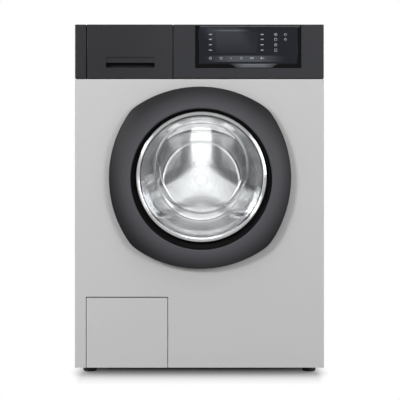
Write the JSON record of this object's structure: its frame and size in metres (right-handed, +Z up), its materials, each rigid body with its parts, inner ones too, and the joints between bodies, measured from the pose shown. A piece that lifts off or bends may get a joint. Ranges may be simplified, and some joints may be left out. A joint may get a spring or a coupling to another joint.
{
  "type": "washing machine",
  "caption": "Front-loading washing machine with a hinged porthole door, a drum spinning in a sprung tub, a detergent drawer, a service flap, a pump filter and levelling feet.",
  "frame": {"origin": "on the floor, under the middle of the machine's bounding box", "axes": "+X to the right of someone facing the door, the door faces -Y, +Z up"},
  "size_m": [0.6, 0.65, 0.85],
  "materials": {
    "silver_paint": "satin",
    "worktop_laminate": "satin",
    "galvanised_steel": "satin",
    "anthracite": "satin",
    "black_plastic": "satin",
    "panel_glass": "gloss",
    "bowl_glass": "clear",
    "chrome": "polished",
    "stainless": "brushed",
    "cast_aluminium": "cast",
    "steel": "satin",
    "grey_plastic": "satin",
    "white_plastic": "satin",
    "rubber": "matt",
    "concrete": "rough",
    "circuit_board": "satin"
  },
  "bodies": {
    "cabinet": {"base_tray": "galvanised_steel", "side_panel_left": "silver_paint", "side_panel_right": "silver_paint", "rear_panel": "silver_paint", "rear_cover": "galvanised_steel", "worktop": "worktop_laminate", "front_panel": "silver_paint", "control_fascia": "anthracite", "display_frame": "black_plastic", "display_glass": "panel_glass", "control_board": "circuit_board", "dispenser_housing": "white_plastic", "door_hinge": "steel", "door_lock": "white_plastic", "drain_pump": "grey_plastic", "drain_hose": "rubber", "drain_outlet": "grey_plastic", "inlet_valve": "white_plastic", "inlet_hose": "rubber", "power_gland": "black_plastic", "damper_cylinder_left": "steel", "damper_cylinder_right": "steel", "pump_hose": "rubber", "dispenser_hose": "rubber", "door_gasket": "rubber", "suspension_spring_left": "steel", "suspension_spring_right": "steel"},
    "tub": {"outer_tub": "grey_plastic", "tub_front": "grey_plastic", "front_counterweight": "concrete", "top_counterweight": "concrete", "bearing_front": "steel", "bearing_rear": "steel", "heater": "steel", "motor": "steel", "drive_belt": "rubber", "damper_rod_left": "steel", "damper_rod_right": "steel"},
    "drum": {"drum_shell": "stainless", "drum_front": "stainless", "drum_back": "stainless", "drum_spider": "cast_aluminium", "drive_pulley": "cast_aluminium", "drum_lifter_1": "grey_plastic", "drum_lifter_2": "grey_plastic", "drum_lifter_3": "grey_plastic"},
    "rotor": {"motor_pulley": "steel"},
    "door": {"door_ring": "anthracite", "door_inner_frame": "black_plastic", "door_glass": "bowl_glass", "door_bezel": "chrome", "latch_hook": "steel"},
    "drawer": {"drawer_front": "anthracite", "drawer_tray": "grey_plastic"},
    "flap": {"service_flap": "silver_paint"},
    "filter": {"filter_cap": "black_plastic"},
    "foot_lf": {"foot_left_front": "rubber"},
    "foot_lr": {"foot_left_rear": "rubber"},
    "foot_rf": {"foot_right_front": "rubber"},
    "foot_rr": {"foot_right_rear": "rubber"}
  },
  "joints": [
    {"name": "tub_slide", "type": "slide", "parent": "cabinet", "child": "tub", "axis": [0, 0, 1], "range_m": [-0.008, 0.008], "stiffness_N_per_m": 8000, "springref_m": 0.0458, "deforming": ["suspension_spring_left", "suspension_spring_right", "dispenser_hose", "pump_hose", "door_gasket"]},
    {"name": "drum_spin", "type": "hinge", "parent": "tub", "child": "drum", "pos_m": [0.0048, 0, 0.4825], "axis": [0, 1, 0], "continuous": true},
    {"name": "motor_spin", "type": "hinge", "parent": "tub", "child": "rotor", "pos_m": [0.118, 0.187, 0.168], "axis": [0, 1, 0], "continuous": true},
    {"name": "door_swing", "type": "hinge", "parent": "cabinet", "child": "door", "pos_m": [-0.207, -0.3075, 0.4803], "axis": [0, 0, -1], "range_deg": [0, 110]},
    {"name": "drawer_pull", "type": "slide", "parent": "cabinet", "child": "drawer", "axis": [0, -1, 0], "range_m": [0, 0.165]},
    {"name": "flap_drop", "type": "hinge", "parent": "cabinet", "child": "flap", "pos_m": [-0.1745, -0.289, 0.029], "axis": [1, 0, 0], "range_deg": [0, 90]},
    {"name": "filter_turn", "type": "hinge", "parent": "cabinet", "child": "filter", "pos_m": [-0.175, -0.262, 0.105], "axis": [0, -1, 0], "range_deg": [0, 90]},
    {"name": "foot_lf_level", "type": "slide", "parent": "cabinet", "child": "foot_lf", "axis": [0, 0, -1], "range_m": [0, 0.015]},
    {"name": "foot_lr_level", "type": "slide", "parent": "cabinet", "child": "foot_lr", "axis": [0, 0, -1], "range_m": [0, 0.015]},
    {"name": "foot_rf_level", "type": "slide", "parent": "cabinet", "child": "foot_rf", "axis": [0, 0, -1], "range_m": [0, 0.015]},
    {"name": "foot_rr_level", "type": "slide", "parent": "cabinet", "child": "foot_rr", "axis": [0, 0, -1], "range_m": [0, 0.015]}
  ],
  "couplings": [
    {"joint": "motor_spin", "follows": "drum_spin", "ratio": 14.5}
  ]
}
